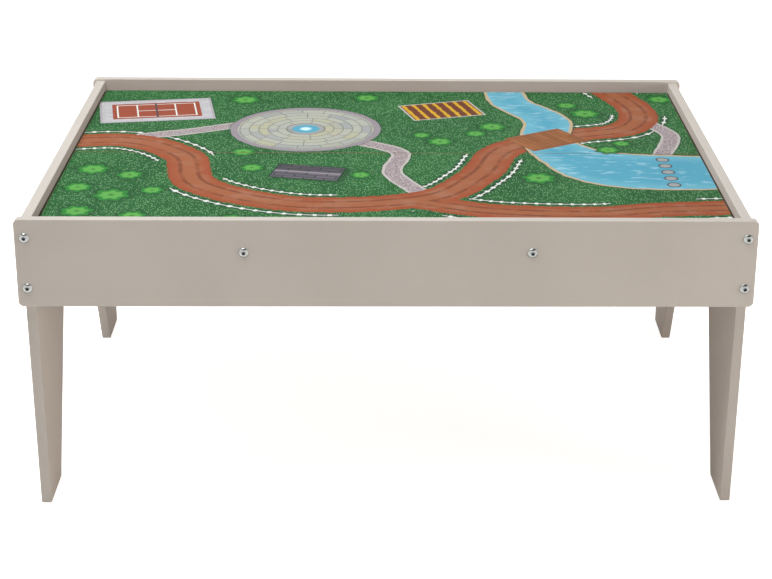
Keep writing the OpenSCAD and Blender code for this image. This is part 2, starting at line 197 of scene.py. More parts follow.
class Recipe:
    """Adds nodes to one tree and links them, so that a finish reads as a list of steps."""

    def __init__(self, tree):
        self.tree = tree

    def feed(self, socket, value):
        if isinstance(value, bpy.types.NodeSocket):
            self.tree.links.new(value, socket)
        elif hasattr(socket.default_value, "__len__") and len(value) + 1 == len(socket.default_value):
            socket.default_value = (*value, 1)
        else:
            socket.default_value = value

    def put(self, kind, feeds=None, **settings):
        made = self.tree.nodes.new("ShaderNode" + kind)
        for name, value in settings.items():
            setattr(made, name, value)
        for socket, value in (feeds or {}).items():
            self.feed(made.inputs[socket], value)
        return made

    def math(self, kind, *values):
        return self.put("Math", dict(enumerate(values)), operation=kind).outputs[0]

    def add(self, *values):
        return self.math("ADD", *values)

    def times(self, *values):
        return self.math("MULTIPLY", *values)

    def less(self, *values):
        return self.math("SUBTRACT", *values)

    def most(self, *values):
        return self.math("MAXIMUM", *values)

    def least(self, *values):
        return self.math("MINIMUM", *values)

    def away(self, value):
        """How far a value lies from 0, to either side."""
        return self.math("ABSOLUTE", value)

    def distance(self, x, y):
        """How far a place lies from the origin in the plane."""
        place = self.put("CombineXYZ", {0: x, 1: y}).outputs[0]
        return self.put("VectorMath", {0: place}, operation="LENGTH").outputs["Value"]

    def band(self, value, low, high):
        """0 at low and 1 at high, with a soft step between them, in either order."""
        return self.put(
            "MapRange", {"Value": value, "From Min": low, "From Max": high},
            interpolation_type="SMOOTHSTEP",
        ).outputs[0]

    def within(self, value, edge, soft=INK_SOFT):
        """1 below an edge and 0 above it."""
        return self.band(value, edge + soft, edge - soft)

    def beyond(self, value, edge, soft=INK_SOFT):
        """0 below an edge and 1 above it."""
        return self.band(value, edge - soft, edge + soft)

    def span(self, value, low, high):
        """0 to 1 spread evenly from low to high."""
        return self.put("MapRange", {"Value": value, "To Min": low, "To Max": high}).outputs[0]

    def blend(self, share, under, top, **settings):
        """Two colours mixed, by the sockets of the Mix node that carry colours."""
        return self.put("Mix", {0: share, 6: under, 7: top}, data_type="RGBA", **settings).outputs[2]

    def over(self, mask, under, top, strength=None):
        """The colour top laid over the colour under where mask is 1, thinned by a strength."""
        return self.blend(mask if strength is None else self.times(mask, strength), under, top)

    def shade(self, colour, factor):
        """A colour made lighter or darker by a factor."""
        return self.blend(1.0, colour, factor, blend_type="MULTIPLY")

    def place(self):
        return self.put("TexCoord").outputs["Object"]

    def moved(self, place, centre, turn=0.0):
        """A place seen from a centre, and turned there."""
        return self.put(
            "Mapping", {"Vector": place, "Location": (*centre, 0), "Rotation": (0, 0, turn)},
            vector_type="TEXTURE",
        ).outputs[0]

    def stretched(self, place, *scale):
        return self.put("Mapping", {"Vector": place, "Scale": scale}).outputs[0]

    def axes(self, place):
        return tuple(self.put("SeparateXYZ", {0: place}).outputs)

    def channels(self, colour):
        return tuple(self.put("SeparateColor", {0: colour}).outputs)

    def noise(self, place, scale, detail=2.0, rough=0.5):
        return self.put(
            "TexNoise", {"Vector": place, "Scale": scale, "Detail": detail, "Roughness": rough}
        ).outputs[0]

    def ragged(self, place, scale, depth, detail=2.0, rough=0.5):
        """Noise to either side of 0, which breaks up an edge."""
        return self.times(self.less(self.noise(place, scale, detail, rough), 0.5), depth)

    def mottled(self, colour, place, scale, low, high, detail=2.0, rough=0.5):
        """A colour with darker and lighter spots, by factors from low to high."""
        return self.shade(colour, self.span(self.noise(place, scale, detail, rough), low, high))

    def cells(self, place, scale, loose=1.0):
        return self.put(
            "TexVoronoi", {"Vector": place, "Scale": scale, "Randomness": loose}, voronoi_dimensions="2D"
        ).outputs

    def bump(self, height, strength, distance):
        feeds = {"Strength": strength, "Distance": distance, "Height": height}
        return self.put("Bump", feeds).outputs[0]

    def kept(self, name):
        """A value kept on the points of the mesh."""
        return self.put("Attribute", attribute_name=name).outputs["Fac"]

    def rays(self):
        """Whether the camera sees a place itself, and whether it sees it mirrored."""
        ray = self.put("LightPath").outputs
        return ray["Is Camera Ray"], self.most(ray["Is Glossy Ray"], ray["Is Transmission Ray"])

    def group(self, name, feeds):
        return self.put("Group", feeds, node_tree=bpy.data.node_groups[name]).outputs


def new_group(name, takes, gives):
    """An empty node group: its recipe, the sockets that come in and the sockets that leave."""
    tree = bpy.data.node_groups.new(name, "ShaderNodeTree")
    for socket, kind in takes:
        tree.interface.new_socket(socket, in_out="INPUT", socket_type="NodeSocket" + kind)
    for socket, kind in gives:
        tree.interface.new_socket(socket, in_out="OUTPUT", socket_type="NodeSocket" + kind)
    come = tree.nodes.new("NodeGroupInput").outputs
    leave = tree.nodes.new("NodeGroupOutput").inputs
    return Recipe(tree), come, leave


def sprayed_skin_group():
    """Fine orange peel of a sprayed or varnished coat, with faint clouds in its tone and sheen."""
    mix, come, leave = new_group(
        "Sprayed skin",
        [("Place", "Vector"), ("Peel", "Float"), ("Clouds", "Float")],
        [("Tone", "Float"), ("Sheen", "Float"), ("Height", "Float")],
    )
    clouds = mix.noise(come["Place"], come["Clouds"], 3)
    peel = mix.noise(come["Place"], come["Peel"], 2)
    mix.feed(leave["Tone"], mix.band(clouds, 0.3, 0.7))
    mix.feed(leave["Sheen"], mix.add(mix.times(clouds, 0.5), mix.times(peel, 0.5)))
    mix.feed(leave["Height"], peel)


def rubbed_edge_group():
    """Where an edge is rubbed: the kept edge value, broken up by noise."""
    mix, come, leave = new_group(
        "Rubbed edge", [("Place", "Vector"), ("Amount", "Float")], [("Mask", "Float")]
    )
    patch = mix.band(mix.noise(come["Place"], 60.0, 4, 0.6), 0.42, 0.72)
    edge = mix.band(mix.kept("edge"), 0.1, 0.9)
    mix.feed(leave["Mask"], mix.times(mix.times(edge, patch), come["Amount"]))


def grain_group():
    """Growth rings and fine pores of sawn timber that runs along Y."""
    mix, come, leave = new_group(
        "Timber grain",
        [("Place", "Vector"), ("Rings", "Float")],
        [("Late wood", "Float"), ("Pores", "Float")],
    )
    long = mix.stretched(come["Place"], 1, 0.05, 1)
    drift = mix.times(mix.noise(long, 22.0, 3), 5.0)
    across, _, up = mix.axes(long)
    rings = mix.times(mix.add(across, mix.times(up, 0.6)), come["Rings"])
    wave = mix.math("FRACT", mix.add(rings, drift))
    mix.feed(leave["Late wood"], mix.times(mix.band(wave, 0.15, 0.85), mix.band(wave, 1.0, 0.9)))
    mix.feed(leave["Pores"], mix.noise(long, 900.0, 2))


def blocks_group():
    """Courses of blocks laid in a bond: the joints, and a chance value for each block."""
    mix, come, leave = new_group(
        "Block courses",
        [(socket, "Float") for socket in ("Along", "Up", "Length", "Course", "Joint")],
        [("Joints", "Float"), ("Chance", "Float"), ("Tint", "Color")],
    )
    up = mix.math("DIVIDE", come["Up"], come["Course"])
    row = mix.math("FLOOR", up)
    odd = mix.times(mix.math("MODULO", row, 2.0), 0.5)
    along = mix.add(mix.math("DIVIDE", come["Along"], come["Length"]), odd)
    column = mix.math("FLOOR", along)
    beside = mix.times(mix.math("PINGPONG", along, 0.5), come["Length"])
    above = mix.times(mix.math("PINGPONG", up, 0.5), come["Course"])
    block = mix.put("CombineXYZ", {0: column, 1: row}).outputs[0]
    chance = mix.put("TexWhiteNoise", {"Vector": block}, noise_dimensions="2D")
    joints = mix.band(mix.least(beside, above), come["Joint"], mix.times(come["Joint"], 0.4))
    mix.feed(leave["Joints"], joints)
    mix.feed(leave["Chance"], chance.outputs[0])
    mix.feed(leave["Tint"], chance.outputs[1])


def plated_group():
    """Fine scratches and spots of a plated metal."""
    mix, come, leave = new_group(
        "Plated metal",
        [("Place", "Vector"), ("Size", "Float")],
        [("Scratch", "Float"), ("Spots", "Float")],
    )
    fine = mix.stretched(come["Place"], 1, 1, 0.1)
    mix.feed(leave["Scratch"], mix.noise(fine, come["Size"], 3))
    mix.feed(leave["Spots"], mix.noise(come["Place"], mix.times(come["Size"], 0.2), 4, 0.65))


def new_finish(name, **plain):
    """A material with only a Principled shader, whose plain values are set on its sockets."""
    finish = bpy.data.materials.new(name)
    finish.use_nodes = True
    mix = Recipe(finish.node_tree)
    shader = finish.node_tree.nodes["Principled BSDF"]
    for socket, value in plain.items():
        mix.feed(shader.inputs[socket.replace("_", " ")], value)
    return finish, mix, shader.inputs


# Painted shade of the gap where the play boards meet the inner faces: how far it reaches above and below
# their top, and into the face
GAP_SHADE_ABOVE = 0.0007
GAP_SHADE_BELOW = 0.0060
GAP_SHADE_IN = 0.0008


def paint_finish(tints, name, gap_shade_at=None):
    """Satin paint. The last argument gives the inner face and the level of the play boards' top, where a
    dark line of painted shade stands for the shade in the gap beside them.
    """
    finish, mix, shader = new_finish(name, Specular_IOR_Level=0.4)
    place = mix.place()
    skin = mix.group("Sprayed skin", {"Place": place, "Peel": 420.0, "Clouds": 9.0})
    rubbed = mix.group("Rubbed edge", {"Place": place, "Amount": 0.55})
    cut = mix.kept("cut")
    coat = mix.over(skin["Tone"], tints.paint_low, tints.paint)
    coat = mix.shade(coat, mix.span(cut, 1.0, 0.93))
    # A dark line of painted shade on the inner faces, at and below the play boards' top, for the shade
    # in the gap beside them
    if gap_shade_at:
        face, level = gap_shade_at
        x, _, z = mix.axes(place)
        inner = mix.within(mix.away(x), face + GAP_SHADE_IN)
        line = mix.times(mix.within(z, level + GAP_SHADE_ABOVE), mix.beyond(z, level - GAP_SHADE_BELOW, 0.001))
        line = mix.times(line, mix.span(mix.noise(place, 120.0, 3), 0.8, 1.0))
        coat = mix.over(inner, coat, tints.painted_gap_shade, line)
    mix.feed(shader["Base Color"], mix.over(rubbed["Mask"], coat, tints.paint_worn))
    mix.feed(shader["Roughness"], mix.add(mix.span(skin["Sheen"], 0.58, 0.74), mix.times(cut, 0.06)))
    mix.feed(shader["Normal"], mix.bump(skin["Height"], 0.12, 0.0004))
    return finish


def hardboard_finish(tints):
    finish, mix, shader = new_finish("Bare hardboard")
    place = mix.place()
    fibre = mix.noise(mix.stretched(place, 1, 0.35, 1), 900.0, 4, 0.7)
    board = mix.over(mix.band(fibre, 0.35, 0.65), tints.hardboard_dark, tints.hardboard)
    mix.feed(shader["Base Color"], mix.mottled(board, place, 14.0, 0.88, 1.12, 3))
    mix.feed(shader["Roughness"], mix.span(fibre, 0.65, 0.85))
    mix.feed(shader["Normal"], mix.bump(fibre, 0.25, 0.0003))
    return finish


def pine_finish(tints):
    finish, mix, shader = new_finish("Planed pine")
    grain = mix.group("Timber grain", {"Place": mix.place(), "Rings": 260.0})
    wood = mix.over(grain["Late wood"], tints.pine, tints.pine_dark, 0.7)
    mix.feed(shader["Base Color"], mix.shade(wood, mix.span(grain["Pores"], 0.86, 1.1)))
    mix.feed(shader["Roughness"], mix.span(grain["Pores"], 0.5, 0.7))
    mix.feed(shader["Normal"], mix.bump(grain["Pores"], 0.15, 0.0002))
    return finish


def steel_finish(name, tint, low, high):
    finish, mix, shader = new_finish(name, Metallic=1.0)
    marks = mix.group("Plated metal", {"Place": mix.place(), "Size": 1500.0})
    mix.feed(shader["Base Color"], mix.shade(tint, mix.span(marks["Spots"], 0.88, 1.08)))
    mix.feed(shader["Roughness"], mix.span(marks["Scratch"], low, high))
    return finish


# The picture on the play boards, in metres: x to the right and y to the rear, from the middle

# Lanes, fences and footpaths
LANE_LINE = (
    (-0.47, 0.030), (-0.345, 0.052), (-0.262, -0.012), (-0.228, -0.130), (-0.105, -0.200),
    (0.045, -0.178), (0.112, -0.088), (0.150, 0.015), (0.235, 0.075), (0.320, 0.112),
    (0.345, 0.200), (0.300, 0.340),
)
LANE_HALF = 0.027
SPUR_LINE = ((0.030, -0.186), (0.120, -0.222), (0.240, -0.232), (0.330, -0.215), (0.470, -0.205))
SPUR_HALF = 0.025
LANE_RAG = 0.010
RUT_IN = 0.0165
RUT_HALF = 0.0025
FENCE_OUT = 0.0090
FENCE_RUN = 0.150
FENCE_BREAK = 0.051
RAIL_HALF = 0.0009
POST_STEP = 0.0075
POST_HALF = 0.0022
POST_REACH = 0.0030
VERGE_HALF = 0.0051
PATH_LINES = (
    ((-0.035, 0.045), (0.015, 0.000), (0.005, -0.080), (0.040, -0.160)),
    ((-0.205, 0.120), (-0.262, 0.092), (-0.320, 0.070)),
    ((0.345, 0.150), (0.375, 0.080), (0.350, -0.010)),
)
PATH_HALF = 0.013
EDGING_WIDTH = 0.0034

# Stream and pond, stepping stones and bridge
STREAM_LINE = (
    (0.165, 0.340), (0.172, 0.240), (0.215, 0.150), (0.208, 0.060), (0.240, -0.020),
    (0.305, -0.070), (0.470, -0.075),
)
STREAM_HALF = (0.024, 0.026, 0.029, 0.030, 0.044, 0.066, 0.058)
BANK_WIDTH = 0.0045
STONES_MIDDLE = (0.350, -0.075)
STONES = 5
STONE_STEP = 0.0125
STONE_RADIUS = 0.0088
STONE_RIM = 0.0019
BRIDGE_MIDDLE = (0.208, 0.060)
BRIDGE_HALF = (0.044, 0.033)
BRIDGE_TURN = 0.56
HANDRAIL_WIDTH = 0.0034
HANDRAIL_SHADE = 0.0049
PLANKS = {"Length": 0.5, "Course": 0.0085, "Joint": 0.0007}

# Bed of flowers
ROWS_MIDDLE = (0.074, 0.196)
ROWS_HALF = (0.052, 0.038)
ROWS_TURN = 0.30
ROW_STEP = 0.0075
ROW_HALF = 0.0026
ROWS_BORDER = 0.0026

# Round square
SQUARE_MIDDLE = (-0.110, 0.105)
SQUARE_RADIUS = 0.100
KERB_WIDTH = 0.0095
PAVING = {"Length": 0.030, "Course": 0.0125, "Joint": 0.0010}
BASIN_RADIUS = 0.026
BASIN_LEDGE = 0.0080
BASIN_RIM = 0.0011

# Playing court
COURT_MIDDLE = (-0.318, 0.190)
COURT_HALF = (0.060, 0.036)
COURT_SIDE_HALF = (0.077, 0.052)
COURT_TURN = 0.16
COURT_BORDER = 0.0035
LINE_IN = 0.007
LINE_HALF = 0.0010
SERVICE_OUT = 0.026
NET_IN = 0.003
NET_HALF = 0.0013
SETTS = {"Length": 0.014, "Course": 0.009, "Joint": 0.0007}

# Cottage
COTTAGE_MIDDLE = (-0.100, -0.080)
COTTAGE_SHADOW = (-0.095, -0.086)
COTTAGE_HALF = (0.044, 0.027)
COTTAGE_TURN = -0.20
RIDGE_HALF = 0.0022
EAVES_WIDTH = 0.0018
SLATES = {"Length": 0.026, "Course": 0.0098, "Joint": 0.0014}

# Trees: the middle and the radius of each crown
TREES = (
    (-0.366, -0.070, 0.021), (-0.318, -0.092, 0.017), (-0.374, -0.140, 0.018), (-0.330, -0.168, 0.023),
    (-0.284, -0.150, 0.015), (-0.362, -0.226, 0.020), (-0.296, -0.242, 0.017), (0.140, 0.118, 0.020),
    (0.116, 0.086, 0.015), (0.186, -0.100, 0.022), (0.285, 0.016, 0.016), (0.306, 0.044, 0.013),
    (0.272, 0.182, 0.022), (0.250, 0.222, 0.016), (0.385, 0.255, 0.019), (-0.030, 0.256, 0.019),
    (-0.186, 0.002, 0.017), (-0.200, 0.244, 0.021), (0.068, 0.050, 0.018), (0.044, 0.078, 0.013),
    (-0.170, -0.062, 0.016), (-0.034, -0.090, 0.014), (-0.180, -0.252, 0.016),
)
LOBES = 7
LOBE_DEPTH_SHARE = 0.13
LOBE_TURN_PER_METRE = 90

# Blades in the grass: how many to a metre, the share left bare, how strong they are, and their colour
BLADES = ((480.0, 0.40, 0.52, "blade_low"), (600.0, 0.58, 0.78, "blade"))


def flowing(points, steps=24):
    """Points on a smooth curve through the given ones."""
    points = np.array(points, float)
    last = len(points) - 1
    t = np.linspace(0, 1, steps, endpoint=False)[:, None]
    made = []
    for i in range(last):
        a, b, c, d = (points[min(max(i + k, 0), last)] for k in (-1, 0, 1, 2))
        bend = (2 * a - 5 * b + 4 * c - d) * t**2 + (3 * b - a - 3 * c + d) * t**3
        made.append(0.5 * (2 * b + (c - a) * t + bend))
    made.append(points[-1:])
    return np.concatenate(made)


def from_line(places, points, half):
    """How far each place lies from a ribbon along a curve, below 0 inside it, and how far along it."""
    widths = np.full(len(points), half) if np.isscalar(half) else np.array(half)
    curve = flowing(np.column_stack([points, widths]))
    nearest = np.full(len(places), np.inf)
    along = np.zeros(len(places))
    done = 0.0
    for start, end in zip(curve[:-1], curve[1:]):
        run = end[:2] - start[:2]
        t = np.clip(((places - start[:2]) @ run) / (run @ run), 0, 1)
        from_middle = np.hypot(*(places - start[:2] - t[:, None] * run).T)
        gap = from_middle - (start[2] + t * (end[2] - start[2]))
        along = np.where(gap < nearest, done + t * math.hypot(*run), along)
        nearest = np.minimum(nearest, gap)
        done += math.hypot(*run)
    return nearest, along


def picture_values(places):
    """The values that the points of a play board carry for the picture's shader."""
    lane, lane_run = from_line(places, LANE_LINE, LANE_HALF)
    spur, spur_run = from_line(places, SPUR_LINE, SPUR_HALF)
    crown = np.full(len(places), 2.0)
    for x, y, radius in TREES:
        right, back = places[:, 0] - x, places[:, 1] - y
        turn = LOBES * np.arctan2(back, right) + LOBE_TURN_PER_METRE * x
        lobes = 1 + LOBE_DEPTH_SHARE * np.cos(turn)
        crown = np.minimum(crown, np.hypot(right, back) / (radius * lobes))
    return {
        "lane": np.minimum(lane, spur),
        "along": np.where(lane < spur, lane_run, spur_run),
        "stream": from_line(places, STREAM_LINE, STREAM_HALF)[0],
        "path": np.min([from_line(places, line, PATH_HALF)[0] for line in PATH_LINES], 0),
        "crown": crown,
    }


def box_gap(mix, place, half):
    """Distance from an upright box round the place's origin, below 0 inside it."""
    x, y, _ = mix.axes(place)
    return mix.most(mix.less(mix.away(x), half[0]), mix.less(mix.away(y), half[1]))


def shaded(mix, gap, reach, tints, under, depth=0.5):
    """Soft shade on the ground round a shape."""
    return mix.over(mix.band(gap, reach, 0.0), under, tints.thicket, depth)


def grass(mix, place, tints):
    """Mid-green ground with soft patches and short upright blades, dark and pale."""
    patch = mix.band(mix.noise(place, 16.0, 3), 0.35, 0.65)
    ground = mix.over(patch, tints.grass_low, tints.grass)
    upright = mix.stretched(place, 1, 0.32, 1)
    for scale, bare, strength, tone in BLADES:
        dots = mix.cells(upright, scale, loose=0.75)
        chance = mix.channels(dots["Color"])[0]
        speck = mix.times(mix.band(dots["Distance"], 0.36, 0.22), mix.band(chance, bare, bare + 0.05))
        ground = mix.over(speck, ground, getattr(tints, tone), strength)
    return ground


def fences(mix, place, tints, under):
    """White posts and rails in runs beside the lanes, in a dark verge."""
    side = mix.away(mix.less(mix.kept("lane"), FENCE_OUT))
    along = mix.kept("along")
    there = mix.beyond(mix.math("PINGPONG", along, FENCE_RUN), FENCE_BREAK, 0.001)
    post = mix.within(mix.math("PINGPONG", along, POST_STEP), POST_HALF)
    post = mix.times(post, mix.within(side, POST_REACH))
    wood = mix.most(mix.within(side, RAIL_HALF), post)
    verge = mix.within(mix.add(side, mix.ragged(place, 150.0, 0.008, 4, 0.6)), VERGE_HALF, 0.0015)
    ground = mix.over(mix.times(verge, there), under, tints.thicket, 0.7)
    return mix.over(mix.times(wood, there), ground, tints.fence)


def paths(mix, place, tints, under):
    """Gravel footpaths between pale edgings."""
    gap = mix.add(mix.kept("path"), mix.ragged(place, 60.0, 0.004))
    grains = mix.band(mix.noise(place, 520.0, 2, 0.7), 0.40, 0.62)
    gravel = mix.over(grains, tints.gravel, tints.gravel_dark)
    gravel = mix.over(mix.beyond(gap, -EDGING_WIDTH), gravel, tints.edging)
    return mix.over(mix.within(gap, 0), shaded(mix, gap, 0.003, tints, under), gravel)


def lanes(mix, place, tints, under):
    """Earth lanes, redder at their ragged edges, with two worn ruts."""
    rag = mix.ragged(place, 150.0, LANE_RAG, 4, 0.65)
    gap = mix.add(mix.kept("lane"), rag)
    warm = mix.add(mix.times(gap, -40.0), mix.ragged(place, 45.0, 0.8, 3))
    earth = mix.over(mix.band(warm, 0.1, 0.9), tints.lane_edge, tints.lane)
    trodden = mix.band(mix.noise(place, 26.0, 4, 0.6), 0.46, 0.66)
    earth = mix.over(mix.times(trodden, mix.band(gap, -0.004, -0.012)), earth, tints.lane_pale)
    earth = mix.mottled(earth, place, 420.0, 0.80, 1.2, 3, 0.7)
    earth = mix.over(mix.band(gap, -0.0022, -0.0002), earth, tints.lane_rim, 0.45)
    rut = mix.away(mix.add(mix.add(mix.kept("lane"), RUT_IN), mix.times(rag, 0.25)))
    worn = mix.span(mix.band(mix.noise(place, 70.0, 3), 0.38, 0.56), 0.25, 0.75)
    earth = mix.over(mix.within(rut, RUT_HALF, 0.0011), earth, tints.lane_rim, worn)
    return mix.over(mix.within(gap, 0), under, earth)


def flower_rows(mix, place, tints, under):
    """Straight rows of golden flowers between strips of dark earth."""
    local = mix.moved(place, ROWS_MIDDLE, ROWS_TURN)
    row = mix.math("PINGPONG", mix.axes(local)[0], ROW_STEP)
    row = mix.add(row, mix.ragged(place, 160.0, 0.005, 3))
    heads = mix.mottled(tints.gold, place, 480.0, 0.72, 1.22)
    earth = mix.mottled(tints.lane_rim, place, 300.0, 0.7, 1.1)
    bed = mix.over(mix.within(row, ROW_HALF), earth, heads)
    gap = box_gap(mix, local, ROWS_HALF)
    bed = mix.over(mix.beyond(gap, -ROWS_BORDER), bed, tints.edging)
    return mix.over(mix.within(gap, 0), under, bed)


def round_square(mix, place, tints, under):
    """Round paved square laid in rings inside a kerb, with a small basin in its middle."""
    x, y, _ = mix.axes(mix.moved(place, SQUARE_MIDDLE))
    out = mix.distance(x, y)
    ring = mix.math("FLOOR", mix.math("DIVIDE", out, PAVING["Course"]))
    blocks_per_ring = 2 * math.pi * PAVING["Course"] / PAVING["Length"]
    count = mix.math("ROUND", mix.times(mix.add(ring, 0.5), blocks_per_ring))
    turn = mix.add(mix.math("DIVIDE", mix.math("ARCTAN2", y, x), 2 * math.pi), 0.5)
    round_ring = mix.times(mix.times(turn, count), PAVING["Length"])
    blocks = mix.group("Block courses", {"Along": round_ring, "Up": out, **PAVING})
    warm, cool, _ = mix.channels(blocks["Tint"])
    stone = mix.over(mix.band(warm, 0.6, 0.9), tints.paving, tints.paving_warm)
    stone = mix.over(mix.band(cool, 0.55, 0.9), stone, tints.paving_cool)
    stone = mix.mottled(stone, place, 260.0, 0.88, 1.1, 4, 0.7)
    stone = mix.over(blocks["Joints"], stone, tints.joint, 0.8)
    gap = mix.less(mix.add(out, mix.ragged(place, 90.0, 0.003)), SQUARE_RADIUS)
    kerb = mix.mottled(tints.kerb, place, 200.0, 0.84, 1.14, 3)
    stone = mix.over(mix.beyond(gap, -KERB_WIDTH, 0.001), stone, kerb)
    basin = mix.less(out, BASIN_RADIUS)
    ledge = mix.shade(tints.paving_cool, mix.span(blocks["Chance"], 0.8, 1.05))
    pool = mix.over(mix.band(out, 0.004, 0.010), tints.ripple, tints.water)
    pool = mix.over(mix.beyond(basin, -BASIN_LEDGE), pool, ledge)
    pool = mix.over(mix.beyond(basin, -BASIN_RIM), pool, tints.basin_line)
    stone = mix.over(mix.within(basin, 0), stone, pool)
    return mix.over(mix.within(gap, 0), shaded(mix, gap, 0.006, tints, under, 0.45), stone)


def court(mix, place, tints, under):
    """A clay court with white lines and a net, on small pale setts."""
    local = mix.moved(place, COURT_MIDDLE, COURT_TURN)
    x, y, _ = mix.axes(local)
    setts = mix.group("Block courses", {"Along": x, "Up": y, **SETTS})
    stone = mix.shade(tints.sett, mix.span(setts["Chance"], 0.9, 1.04))
    stone = mix.over(setts["Joints"], stone, tints.sett_joint, 0.75)
    around = box_gap(mix, local, COURT_SIDE_HALF)
    stone = mix.over(mix.beyond(around, -COURT_BORDER), stone, tints.kerb, 0.5)
    ground = shaded(mix, around, 0.004, tints, under, 0.45)
    ground = mix.over(mix.within(around, 0), ground, stone)
    across, back = mix.away(x), mix.away(y)
    gap = box_gap(mix, local, COURT_HALF)
    border = mix.away(mix.add(gap, LINE_IN))
    serving = mix.most(mix.away(mix.less(across, SERVICE_OUT)), mix.less(back, COURT_HALF[1] - LINE_IN))
    middle = mix.most(back, mix.less(across, SERVICE_OUT))
    line = mix.least(border, mix.least(serving, middle))
    net = mix.most(across, mix.less(back, COURT_HALF[1] - NET_IN))
    clay = mix.mottled(tints.clay, place, 240.0, 0.84, 1.14, 4, 0.6)
    clay = mix.over(mix.within(line, LINE_HALF), clay, tints.fence)
    clay = mix.over(mix.within(net, NET_HALF), clay, tints.basin_line)
    return mix.over(mix.within(gap, 0), ground, clay)


def waters(mix, place, tints, under):
    """Stream and pond between sandy banks, with soft pale ripples."""
    gap = mix.add(mix.kept("stream"), mix.ragged(place, 70.0, 0.005))
    blue = mix.over(mix.band(gap, -0.030, -0.004), tints.water, tints.shallows)
    blue = mix.mottled(blue, place, 22.0, 0.94, 1.06)
    ripple = mix.band(mix.noise(mix.stretched(place, 0.35, 1, 1), 130.0), 0.56, 0.66)
    blue = mix.over(ripple, blue, tints.ripple, 0.28)
    sand = mix.mottled(tints.sand, place, 420.0, 0.86, 1.12)
    bank = mix.over(mix.band(gap, 0.011, 0.004), under, tints.thicket, 0.5)
    bank = mix.over(mix.within(gap, BANK_WIDTH), bank, sand)
    return mix.over(mix.within(gap, 0), bank, blue)


def stepping_stones(mix, place, tints, under):
    """A straight row of round stones across the pond."""
    x, y, _ = mix.axes(mix.moved(place, STONES_MIDDLE))
    gap = mix.less(mix.distance(x, mix.math("PINGPONG", y, STONE_STEP)), STONE_RADIUS)
    there = mix.within(mix.away(y), STONES * STONE_STEP)
    stone = mix.mottled(tints.paving_cool, place, 260.0, 0.82, 1.12, 3)
    stone = mix.over(mix.beyond(gap, -STONE_RIM), stone, tints.basin_line)
    return mix.over(mix.times(mix.within(gap, 0), there), under, stone)


def bridge(mix, place, tints, under):
    """A plank bridge with a rail along each side."""
    local = mix.moved(place, BRIDGE_MIDDLE, BRIDGE_TURN)
    x, y, _ = mix.axes(local)
    planks = mix.group("Block courses", {"Along": y, "Up": x, **PLANKS})
    wood = mix.shade(tints.plank, mix.span(planks["Chance"], 0.76, 1.12))
    wood = mix.over(planks["Joints"], wood, tints.lane_rim, 0.8)
    side = mix.less(mix.away(y), BRIDGE_HALF[1])
    wood = mix.over(mix.beyond(side, -HANDRAIL_SHADE), wood, tints.lane_rim)
    wood = mix.over(mix.beyond(side, -HANDRAIL_WIDTH), wood, tints.plank)
    return mix.over(mix.within(box_gap(mix, local, BRIDGE_HALF), 0), under, wood)


def trees(mix, place, tints, under):
    """Trees from above: lobed crowns in two greens, with a dark outline and a soft shadow."""
    crown = mix.kept("crown")
    ground = mix.over(mix.band(crown, 1.35, 0.9), under, tints.thicket, 0.5)
    crown = mix.add(crown, mix.ragged(place, 210.0, 0.22, 4, 0.65))
    green = mix.over(mix.band(crown, 0.66, 0.54), tints.leaf, tints.leaf_light)
    green = mix.over(mix.band(crown, 0.84, 0.92), green, tints.thicket, 0.75)
    green = mix.over(mix.band(crown, 0.20, 0.10), green, tints.thicket, 0.6)
    return mix.over(mix.band(crown, 1.03, 0.97), ground, green)


def cottage(mix, place, tints, under):
    """A pitched slate roof from above, with a soft shadow on the ground beside it."""
    shadow = box_gap(mix, mix.moved(place, COTTAGE_SHADOW, COTTAGE_TURN), COTTAGE_HALF)
    ground = mix.over(mix.band(shadow, 0.005, -0.003), under, tints.thicket, 0.6)
    local = mix.moved(place, COTTAGE_MIDDLE, COTTAGE_TURN)
    x, y, _ = mix.axes(local)
    fall = mix.away(y)
    slates = mix.group("Block courses", {"Along": x, "Up": fall, **SLATES})
    roof = mix.shade(tints.slate, mix.span(slates["Chance"], 0.82, 1.14))
    roof = mix.shade(roof, mix.span(mix.within(y, 0), 0.74, 1.08))
    roof = mix.over(slates["Joints"], roof, tints.thicket, 0.75)
    roof = mix.over(mix.within(fall, RIDGE_HALF), roof, tints.kerb)
    gap = box_gap(mix, local, COTTAGE_HALF)
    roof = mix.over(mix.beyond(gap, -EAVES_WIDTH), roof, tints.thicket)
    return mix.over(mix.within(gap, 0), ground, roof)


PICTURE_STEPS = (
    fences, paths, lanes, flower_rows, round_square, court,
    waters, stepping_stones, bridge, trees, cottage,
)


def picture_finish(tints):
    finish, mix, shader = new_finish("Printed picture", Specular_IOR_Level=0.06)
    place = mix.place()
    printed = grass(mix, place, tints)
    for step in PICTURE_STEPS:
        printed = step(mix, place, tints, printed)
    skin = mix.group("Sprayed skin", {"Place": place, "Peel": 600.0, "Clouds": 12.0})
    thrown = mix.put("LightPath").outputs["Is Diffuse Ray"]
    mix.feed(shader["Base Color"], mix.over(thrown, printed, tints.bounce))
    mix.feed(shader["Roughness"], mix.span(skin["Sheen"], 0.52, 0.66))
    mix.feed(shader["Normal"], mix.bump(skin["Height"], 0.08, 0.0003))
    return finish


# Modelling

X, Y, Z = 0, 1, 2
BODY = "frame"
SIDES = ("left", "right")
ENDS = {"front": -1, "rear": 1}  # and which way each lies along Y
SAME_PLACE = 1e-5  # values closer than this count as equal
OVERRUN = 0.01  # how far a cutting tool runs past a face
CORNER_STEPS, ARCH_STEPS, FOOT_STEPS, EDGE_STEPS, FINE_STEPS = 8, 10, 5, 4, 2
BOLT_STEPS = 48
BORE_STEPS = 32
SOCKET_SIDES = 6
FACES_UP, SLOPES, FACES_DOWN = 0.95, 0.5, -0.9  # limits for the z of a face's normal
RUB_PEAK, RUB_REACH = 0.3, 0.4  # where an edge is rubbed most and how far, in shares of its rounding


